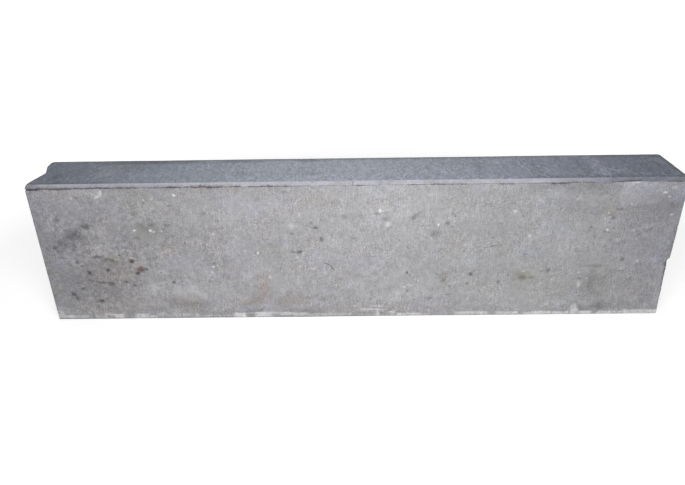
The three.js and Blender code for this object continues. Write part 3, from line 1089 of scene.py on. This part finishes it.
DARK_STROKES = (
    # start along, up, end along, up, half width, strength
    (84.0, 178.0, 106.0, 196.0, 7.0, 0.32), (-50.0, 103.8, -40.5, 98.5, 1.5, 0.8),
    (-40.5, 98.5, -33.9, 88.8, 1.5, 0.8), (-425.0, 119.0, -398.0, 119.0, 4.6, 0.56),
    (-401.0, 118.6, -381.0, 107.0, 5.0, 0.58), (-429.0, 74.5, -397.0, 69.0, 2.4, 0.6),
    (-453.0, 58.0, -439.0, 60.0, 1.7, 0.42), (-468.3, 56.0, -464.0, 45.0, 2.3, 0.6),
    (-464.0, 45.0, -455.0, 38.0, 2.4, 0.6), (-479.0, 134.0, -446.0, 158.0, 9.0, 0.2),
    (-446.0, 158.0, -412.0, 187.0, 9.0, 0.18), (-104.0, 123.6, -92.0, 123.6, 2.2, 0.46),
    (-164.0, 176.0, -152.0, 174.4, 1.8, 0.34), (-144.0, 176.6, -132.0, 174.6, 1.8, 0.3),
    (-306.0, 160.0, -294.0, 172.0, 1.8, 0.42), (-326.0, 160.0, -322.0, 172.0, 2.0, 0.3),
    (-162.0, 12.0, -150.0, 21.0, 3.4, 0.36), (196.0, 127.0, 247.0, 136.0, 1.9, 0.36),
    (190.0, 114.0, 250.0, 114.0, 1.2, 0.18), (-17.0, 115.3, 66.0, 114.3, 1.5, 0.22),
    (186.0, 82.0, 197.0, 90.0, 1.6, 0.3), (0.0, 8.0, 32.0, 7.0, 3.6, 0.28),
    (432.0, 142.0, 447.0, 152.0, 3.4, 0.34), (450.0, 153.0, 467.0, 165.0, 3.4, 0.34),
    (350.0, 93.0, 410.0, 93.0, 4.0, 0.26), (368.0, 20.0, 375.0, 8.0, 3.4, 0.3),
    (401.0, 22.0, 402.0, 8.0, 2.8, 0.34), (375.0, 15.0, 440.0, 14.0, 5.0, 0.2),
)
print(len(DARK_SPOTS), "dark spots and", len(DARK_STROKES), "strokes")

# %% List the pale marks and the rust
PALE_SPOTS = (
    (-275, 224, 4.2, 3, 0.95), (-323, 216.4, 2.4, 2.6, 0.62), (-344.6, 165.4, 4, 2.4, 0.8),
    (-320.4, 164.8, 4.2, 3.4, 0.7), (-315.4, 162.6, 3.6, 2.4, 0.55), (-302.4, 163.4, 3.2, 2.6, 0.5),
    (-445.8, 64.2, 2.4, 1.8, 0.46), (-154.8, 122.8, 3.6, 3.6, 0.8), (-83.2, 120.8, 2, 4.4, 0.66),
    (-92.4, 114, 3.8, 2.8, 0.56), (-99.2, 169.6, 6.4, 8, 0.34), (-222.4, 157, 3, 3.6, 0.42),
    (-228.4, 99, 3.6, 3.8, 0.6), (-222, 101.4, 1.9, 4.2, 0.5), (-231.6, 88.4, 3.4, 3.2, 0.56),
    (-139.2, 78.8, 3.4, 4.6, 0.62), (-68.4, 92.8, 5, 3.2, 0.44), (-201.6, 193, 1.9, 4.6, 0.36),
    (-432, 221, 3, 4, 0.26), (-357.4, 116.4, 5.4, 2.8, 0.2), (37.8, 194.2, 4.8, 4.8, 1),
    (50.2, 170.8, 7, 6.8, 0.8), (128.6, 168.8, 3.2, 3.2, 0.9), (245, 191, 6, 3.4, 0.66),
    (145, 180, 3, 2.8, 0.5), (153, 175, 3, 2.8, 0.5), (86.8, 84.8, 1.9, 2.8, 0.6),
    (78.2, 57, 4, 3.8, 0.52), (60, 3.6, 5, 3, 0.5), (31.6, 31, 1.8, 4.6, 0.46), (468, 219, 5, 3, 0.8),
    (475, 212, 4, 3, 0.4), (480, 227, 8, 4.6, 0.36), (391.6, 157.2, 3.6, 3.2, 0.66),
    (485, 181.8, 3.4, 3.2, 0.62), (432.4, 154.6, 3.8, 3.2, 0.3), (388.5, 186, 2.6, 3.2, 0.48),
    (391.5, 179, 2.8, 2.2, 0.42), (272.4, 148, 5.4, 5.2, 0.4), (448.8, 102, 4, 3.6, 0.46),
    (426, 87, 4, 3.4, 0.4), (270, 84.6, 4.4, 3.6, 0.4), (359, 81, 4.4, 3.8, 0.44),
    (361.6, 59, 4.8, 11, 0.44), (300, 62, 4.4, 3.8, 0.4), (314, 21, 6, 3, 0.46),
    (307, 17, 4.6, 2.6, 0.4), (361, 15, 7, 10, 0.52), (366.5, 9, 3.4, 6, 0.5),
)
PALE_STROKES = (
    (-385.6, 233.0, -388.8, 224.0, 3.4, 0.66), (-389.0, 225.0, -395.0, 221.5, 3.4, 0.56),
    (-402.0, 231.0, -397.0, 226.0, 2.2, 0.3), (88.0, 141.0, 89.6, 130.0, 1.3, 0.42),
    (91.6, 140.0, 92.4, 131.0, 1.1, 0.32), (-1.0, 15.4, 56.0, 12.6, 1.6, 0.8),
    (17.0, 21.4, 57.0, 19.2, 1.5, 0.66), (-12.0, 21.6, 6.0, 20.6, 1.3, 0.5),
    (277.0, 225.0, 305.0, 225.0, 1.4, 0.3), (406.0, 235.6, 440.0, 237.6, 1.5, 0.62),
    (-30.0, 56.0, 10.0, 66.0, 8.0, 0.12),
)
RUST_BROWN = (
    (-358.7, 110.6, 6.4, 5.2, 0.72), (-346.4, 94.6, 10, 6, 0.62),
)
RUST_ORANGE = (
    (-344.6, 98.2, 8.4, 4.4, 0.72), (-350.8, 96.4, 4, 4, 0.5),
)
RUST_PINK = (
    (-358, 116.6, 6.6, 4, 0.5), (-344, 102.6, 8, 3, 0.36), (-151, 62, 15, 30, 0.22),
)

print(len(PALE_SPOTS), "pale spots and", len(PALE_STROKES), "strokes")

# %% [markdown]
# ## The upright faces, drawn out of the mould
# Earth-moist concrete against a steel mould: a closed, matt, light grey face. Its sand shows as fine
# grain, the push out of the mould draws that grain into short upright lines, and the fill packs lighter
# and darker in hand-sized clouds. A kerb that has stood outside adds damp, dirt and stains on top, which
# is why the coats come in that order: clouds, damp, stains, knocks, and last what was painted on the
# mesh. Sand is finer than the render can show, so its grain is drawn at about 3 mm.

# %% Name the sizes in the mix
SAND, DRAWN_SAND = (2.9, 2.9, 3.2), (2.3, 2.3, 17)
SAND_RELIEF, DRAWN_RELIEF = (2.6, 2.6, 3.0), (1.9, 1.9, 20)
GRIT_GRAIN, PEBBLE, PACKED = (4.8, 4.8, 4.8), (8.0, 8.0, 8.5), (11, 11, 10)
COIN, PALM, CLOUD, HAND = (30, 30, 24), (60, 60, 52), (75, 75, 60), (150, 150, 110)
ROUGHER_END = ((-420, 110, 240, 180, 0.20),)
print("sizes run from", SAND[0], "to", HAND[0], "mm")

# %% Name how soft the marks are
# how much of a mark is its even core: none, or a share of its half size
FADED, SOFT, FIRM, CLEAR, CUT = 0.0, 0.1, 0.2, 0.3, 0.86
# how an edge is pushed about: the size of the noise and how far it reaches, in mm
NEAR, CLOSE, WIDER, WIDE, SCATTERED = (3.5, 1.6), (7.0, 2.4), (26.0, 8.0), (55.0, 16.0), (20.0, 9.0)
print("ragged edges reach", NEAR[1], "to", WIDE[1], "mm")

# %% Finish the upright faces
WARM_CLOUDS, COOL_CLOUDS = (CLOUD, -0.6, 0.6), (PALM, -0.6, 0.6)
MOULD_STONES = (PEBBLE, 0.02, 0.45)
MOULD_CLOUDS = ((HAND, 0.96, 1.04), (COIN, 0.93, 1.07), (PACKED, 0.915, 1.085))
MOULD_GRAINS = ((GRIT_GRAIN, 0.05, 0.14), (SAND, 0.10, 0.34), (DRAWN_SAND, 0.06, 0.19))
SAND_HEIGHT, DRAWN_HEIGHT = 0.30, 0.12


def mould_faced(tree, place):
    """Base, coats, tones and relief of the faces that slid along the mould."""
    near, close, wider, wide, scattered = (
        ragged(tree, place, *edge) for edge in (NEAR, CLOSE, WIDER, WIDE, SCATTERED))
    coats = (
        ("#aba6a6", uneven(tree, place, *WARM_CLOUDS)),
        ("#b2b4bc", uneven(tree, place, *COOL_CLOUDS)),
        # darker zones: damp, and painted shade of the light falling off towards both ends
        ("#7c7b7f", patches(tree, wide, spot, DAMP_AND_FALLOFF_SHADE, FADED)),
        ("#c4c3c5", patches(tree, wide, spot, PALE_ZONES, FADED)),
        ("#b9bac0", patches(tree, near, spot, WIPED, CUT)),
        ("#a8aca9", patches(tree, wide, spot, ALGAE_BLOOM, FADED)),
        ("#868896", patches(tree, wide, spot, COLD_ZONES, FADED)),
        ("#a0968f", patches(tree, wider, spot, BROWN_ZONES, SOFT)),
        ("#a6a7b6", patches(tree, wide, spot, BLUE_ZONES, CLEAR)),
        ("#92937f", patches(tree, wide, spot, OLIVE_ZONES, FIRM)),
        ("#6a6867", specks(tree, place, *MOULD_STONES)),
        ("#d4d2d4", specks(tree, scattered, *MOULD_STONES)),
        ("#b39a94", patches(tree, close, spot, RUST_PINK, SOFT)),
        # dark spots and strokes; on the pits and the crack they are painted shade and grime
        ("#474447", patches(tree, close, spot, DARK_SPOTS, SOFT)),
        ("#4d4a4c", patches(tree, close, stroke, DARK_STROKES, SOFT)),
        ("#57423b", patches(tree, close, spot, RUST_BROWN, FIRM)),
        ("#805f47", patches(tree, close, spot, RUST_ORANGE, FIRM)),
        ("#e6e4e6", patches(tree, near, spot, PALE_SPOTS, FIRM)),
        ("#dddbde", patches(tree, near, stroke, PALE_STROKES, CLEAR)),
        ("#e2e0e2", add(tree, "Attribute", attribute_name="skin").outputs["Fac"]),
        shade_and_grime_in_hollows(tree, place),
        *seam_smear_shade_and_dirt(tree),
    )
    tones = (
        *(uneven(tree, place, *cloud) for cloud in MOULD_CLOUDS),
        grainy(tree, place, PACKED, 0.0, patches(tree, wide, spot, ROUGHER_END, FIRM)),
        *(grainy(tree, place, *grain) for grain in MOULD_GRAINS),
    )
    grain = uneven(tree, place, SAND_RELIEF, 0.0, SAND_HEIGHT, FINE_DETAIL)
    drawn = uneven(tree, place, DRAWN_RELIEF, 0.0, DRAWN_HEIGHT)
    return "#acabae", coats, tones, add(tree, "Math", {0: grain, 1: drawn}, operation="ADD").outputs[0]


print(concrete("mould_faced_concrete", mould_faced, roughness=0.9))

# %% [markdown]
# ## The top, pressed by the shoe
# The shoe's face squeezes fine paste to the top of the fill, and the stone was wet there last: a denser
# grey than the sides, and a little smoother. Its colour is darker and bluer than the sides, partly for that
# paste and partly as painted shade and painted blue sky light of a face that the front light only grazes.
# It is paler in the middle than at both ends, which is painted light, and a dark rim along its back edge
# and ends is painted shade of edges turning away from the light. The shoe also leaves faint stripes across.
# Its grain is drawn longer across the stone than along it, because the top is seen at a low angle.

# %% List the marks of the top
TOP_DARK = (
    # along, across, half along, half across, strength
    (-466, -18, 18, 38, 0.66), (-310, -29, 4, 4, 0.7), (-418, -43, 7, 8, 0.34), (195, 0, 10, 80, 0.22),
    (283, -10, 14, 80, 0.2), (335, -8, 30, 60, 0.14), (355, 0, 14, 90, 0.34), (428, 0, 32, 90, 0.24),
    (476, -8, 18, 80, 0.36), (151.6, -6.6, 3.6, 6, 0.55), (-350, 45, 120, 19, 0.8),
    (-325, 44, 26, 14, 0.92), (275, -40, 26, 12, 0.34), (-75, -13, 26, 14, 0.28),
    (-175, -13, 26, 14, 0.2), (485, 42, 34, 16, 0.66), (-285, 46, 60, 17, 0.7),
    (-190, 46, 90, 15, 0.46), (-75, 46, 44, 15, 0.56), (0, 50, 560, 13, 0.4), (440, 47, 110, 14, 0.54),
    (390, -43, 150, 16, 0.56), (-440, -43, 110, 14, 0.54), (-450, 0, 80, 80, 0.26),
    (-350, 20, 60, 24, 0.24), (455, 10, 90, 90, 0.3), (476, 18, 10, 36, 0.4), (286, -20, 2.6, 16, 0.42),
)
# dark rim along the back edge and the ends of the top: painted shade of edges turning away from the light
TOP_RIM_SHADE = (
    (0, 54.5, 1500, 8, 0.6), (470, 54.5, 90, 6.5, 0.5), (501.5, 0, 11.5, 84, 1),
    (470, 54.5, 60, 9, 0.5), (495, -47, 14, 9, 0.66), (-502, 45, 8, 16, 0.6), (-501, -42, 9, 12, 0.6),
    (-494, -22, 7, 14, 0.5),
)
TOP_OLIVE = (
    (-354, 22, 12, 22, 0.4), (-378, 24, 34, 22, 0.34), (-380, -20, 9, 12, 0.26), (412, -44, 10, 8, 0.3),
)
TOP_PALE = (
    (381, 0, 14, 90, 0.3), (-352, -14, 3, 6, 0.4), (160, -4, 10, 10, 0.3),
)
# the paler middle of the top is painted light, stronger in the middle than at the ends
LIT_MIDDLE_OF_TOP = ((-20, 0, 600, 600),)
COARSER_END = ((470, 0, 420, 400, 0.24),)
print("marks on the top:", len(TOP_DARK + TOP_RIM_SHADE + TOP_OLIVE + TOP_PALE))

# %% Finish the top
TOP_STRIPES, TOP_PACKED, TOP_SAND, TOP_SPECK = (16, 50, 30), (9, 24, 9), (5.4, 12, 6), (5.5, 14, 6)
TOP_PALE_CLOUDS = (PALM, -0.6, 0.26)
TOP_HOLES, TOP_STONES = (TOP_SPECK, 0.045, 0.6), (TOP_SPECK, 0.045, 0.5)
TOP_CLOUDS = ((HAND, 0.96, 1.04), (TOP_STRIPES, 0.93, 1.07), (TOP_PACKED, 0.905, 1.095))
TOP_GRAIN, TOP_FINE_GRAIN = (TOP_SAND, 0.14, 0.32), (SAND, 0.10, 0.28)
TOP_EDGES = ((40.0, 9.0), (14.0, 3.5), (9.0, 1.2))
TOP_HEIGHT = 0.22


def shoe_pressed(tree, place):
    """Base, coats, tones and relief of the face that the press shoe made."""
    wide, near, rim_shade_place = (ragged(tree, place, *edge) for edge in TOP_EDGES)
    coats = (
        # paler middle: painted light
        ("#969ba6", patches(tree, place, top_spot, LIT_MIDDLE_OF_TOP, FADED)),
        ("#9a9ba3", uneven(tree, place, *TOP_PALE_CLOUDS)),
        ("#4b5159", patches(tree, near, top_spot, TOP_DARK, SOFT)),
        ("#767463", patches(tree, wide, top_spot, TOP_OLIVE, SOFT)),
        ("#a9acb6", patches(tree, near, top_spot, TOP_PALE, SOFT)),
        # the dark rim: painted shade of the top's edges
        ("#45463f", patches(tree, rim_shade_place, top_spot, TOP_RIM_SHADE, FIRM)),
        ("#44464d", specks(tree, place, *TOP_HOLES)),
        ("#a3a5b0", specks(tree, near, *TOP_STONES)),
        shade_and_grime_in_hollows(tree, place),
    )
    tones = (
        *(uneven(tree, place, *cloud) for cloud in TOP_CLOUDS),
        grainy(tree, place, *TOP_GRAIN),
        grainy(tree, place, TOP_SAND, 0.0, patches(tree, place, top_spot, COARSER_END, FIRM)),
        grainy(tree, place, *TOP_FINE_GRAIN),
    )
    # darker and bluer than the sides: partly the denser paste, partly painted shade and painted blue sky
    # light
    return "#646877", coats, tones, uneven(tree, place, SAND_RELIEF, 0.0, TOP_HEIGHT, FINE_DETAIL)


print(concrete("shoe_pressed_concrete", shoe_pressed, roughness=0.86))

# %% [markdown]
# ## The bevel's cement skin
# Under the shoe's lip the paste is squeezed out thin and closes to a skin of nearly pure cement: the
# palest part of the stone, smoother than the rest, with hardly any grain. It is dull where the ends are
# damp, and the smear of the seam and its painted shade and dirt reach up onto it.

# %% Finish the bevel
BEVEL_DULL = (
    # along, up, half along, half up, strength
    (-505, 240, 48, 30, 0.85), (-400, 240, 190, 30, 0.22), (330, 240, 60, 30, 0.4),
    (380, 240, 90, 30, 0.6), (440, 240, 150, 30, 0.95), (428, 240, 40, 30, 0.9), (505, 240, 90, 30, 1),
)
BEVEL_MARKS = (
    (-3.6, 240, 1.6, 8, 0.6), (38, 240, 6, 5, 0.3), (386, 240, 2, 8, 0.4), (104, 240, 3, 4, 0.25),
)
BEVEL_DULL_CLOUDS = (COIN, -0.8, 0.7)
BEVEL_CLOUDS, BEVEL_GRAIN = ((CLOUD, 0.96, 1.04), (PEBBLE, 0.92, 1.06)), (SAND, 0.08, 0.24)
BEVEL_EDGES = ((30.0, 9.0), (5.0, 1.0))
BEVEL_HEIGHT = 0.15


def bevel_skin(tree, place):
    """Base, coats, tones and relief of the cement skin under the shoe's lip."""
    wide, near = (ragged(tree, place, *edge) for edge in BEVEL_EDGES)
    coats = (
        ("#a6a5a6", uneven(tree, place, *BEVEL_DULL_CLOUDS)),
        ("#757882", patches(tree, wide, spot, BEVEL_DULL, FIRM)),
        ("#6a6873", patches(tree, near, spot, BEVEL_MARKS, FIRM)),
        *seam_smear_shade_and_dirt(tree),
    )
    tones = (*(uneven(tree, place, *cloud) for cloud in BEVEL_CLOUDS), grainy(tree, place, *BEVEL_GRAIN))
    return "#b4b4be", coats, tones, uneven(tree, place, SAND_RELIEF, 0.0, BEVEL_HEIGHT, FINE_DETAIL)


print(concrete("bevel_cement_skin", bevel_skin, roughness=0.8))

# %% [markdown]
# ## Broken concrete
# Inside, the mix is not closed by any tool: grains of sand and stone stand out of torn paste, so the
# face is rough, duller than the skin round it, and speckled both dark and light. Just under the ledge it
# is darker still, which is the ledge's painted shadow.

# %% Finish the break
# two dark patches just under the ledge: the ledge's painted shadow
SHADOW_UNDER_LEDGE = (
    # along, up, half along, half up, strength
    (494.5, 99.5, 2.6, 3, 0.85), (495.5, 93.5, 2.4, 3, 0.85),
)
TORN_GRAINS = ((495.0, 96.6, 2.2, 1.6, 0.60),)
TORN_HOLES, TORN_STONES = (GRIT_GRAIN, 0.12, 0.8), (SAND, 0.08, 0.7)
TORN_CLOUDS, TORN_GRAIN = (PEBBLE, 0.85, 1.15), (SAND, 0.2, 0.4)
TORN_RELIEF, TORN_HEIGHT = (2.2, 2.2, 2.2), 0.7


def broken_face(tree, place):
    """Base, coats, tones and relief of the torn concrete in the broken corner."""
    coats = (
        # the ledge's painted shadow
        ("#3f3d3d", patches(tree, place, spot, SHADOW_UNDER_LEDGE, FIRM)),
        ("#c2c2c6", patches(tree, place, spot, TORN_GRAINS, FIRM)),
        ("#5c5a58", specks(tree, place, *TORN_HOLES)),
        ("#c2c2c6", specks(tree, place, *TORN_STONES)),
    )
    tones = (uneven(tree, place, *TORN_CLOUDS), grainy(tree, place, *TORN_GRAIN))
    return "#8f9299", coats, tones, uneven(tree, place, TORN_RELIEF, 0.0, TORN_HEIGHT, FINE_DETAIL)


print(concrete("broken_concrete", broken_face, roughness=0.94))

# %% [markdown]
# ## The base, cast on a board
# Paste runs down and closes over the production board, so the base is flatter and finer than the sides,
# with the board's long grain printed in it and sandy patches where the stone has been set down. Nobody
# sees it on a laid kerb, but this stone may be turned over.

# %% Finish the base
SANDY_PATCHES = ((-260, 0, 180, 60, 0.5), (310, 0, 150, 60, 0.4))
SANDY_EDGE = (40.0, 16.0)
BASE_STONES, BASE_HOLES = (PEBBLE, 0.05, 0.6), (PEBBLE, 0.04, 0.6)
BOARD_GRAIN, BOARD_RELIEF, BOARD_HEIGHT = (120, 5, 5), (140, 3.2, 3.2), 0.35
BASE_CLOUDS, BASE_GRAIN = ((HAND, 0.95, 1.05), (BOARD_GRAIN, 0.94, 1.06)), (SAND, 0.08, 0.22)


def base_spot(along, across, half_along, half_across, strength):
    """A mark on the base."""
    return (along, across, 0), (half_along, half_across, DEEP), 0.0, strength


def board_cast(tree, place):
    """Base, coats, tones and relief of the face that stood on the board."""
    coats = (
        ("#8d8984", patches(tree, ragged(tree, place, *SANDY_EDGE), base_spot, SANDY_PATCHES, FADED)),
        ("#c2c0bf", specks(tree, place, *BASE_STONES)),
        ("#6e6a67", specks(tree, ragged(tree, place, *SCATTERED), *BASE_HOLES)),
    )
    tones = (*(uneven(tree, place, *cloud) for cloud in BASE_CLOUDS), grainy(tree, place, *BASE_GRAIN))
    return "#a7a5a4", coats, tones, uneven(tree, place, BOARD_RELIEF, 0.0, BOARD_HEIGHT, FINE_DETAIL)


print(concrete("board_cast_concrete", board_cast, roughness=0.92))
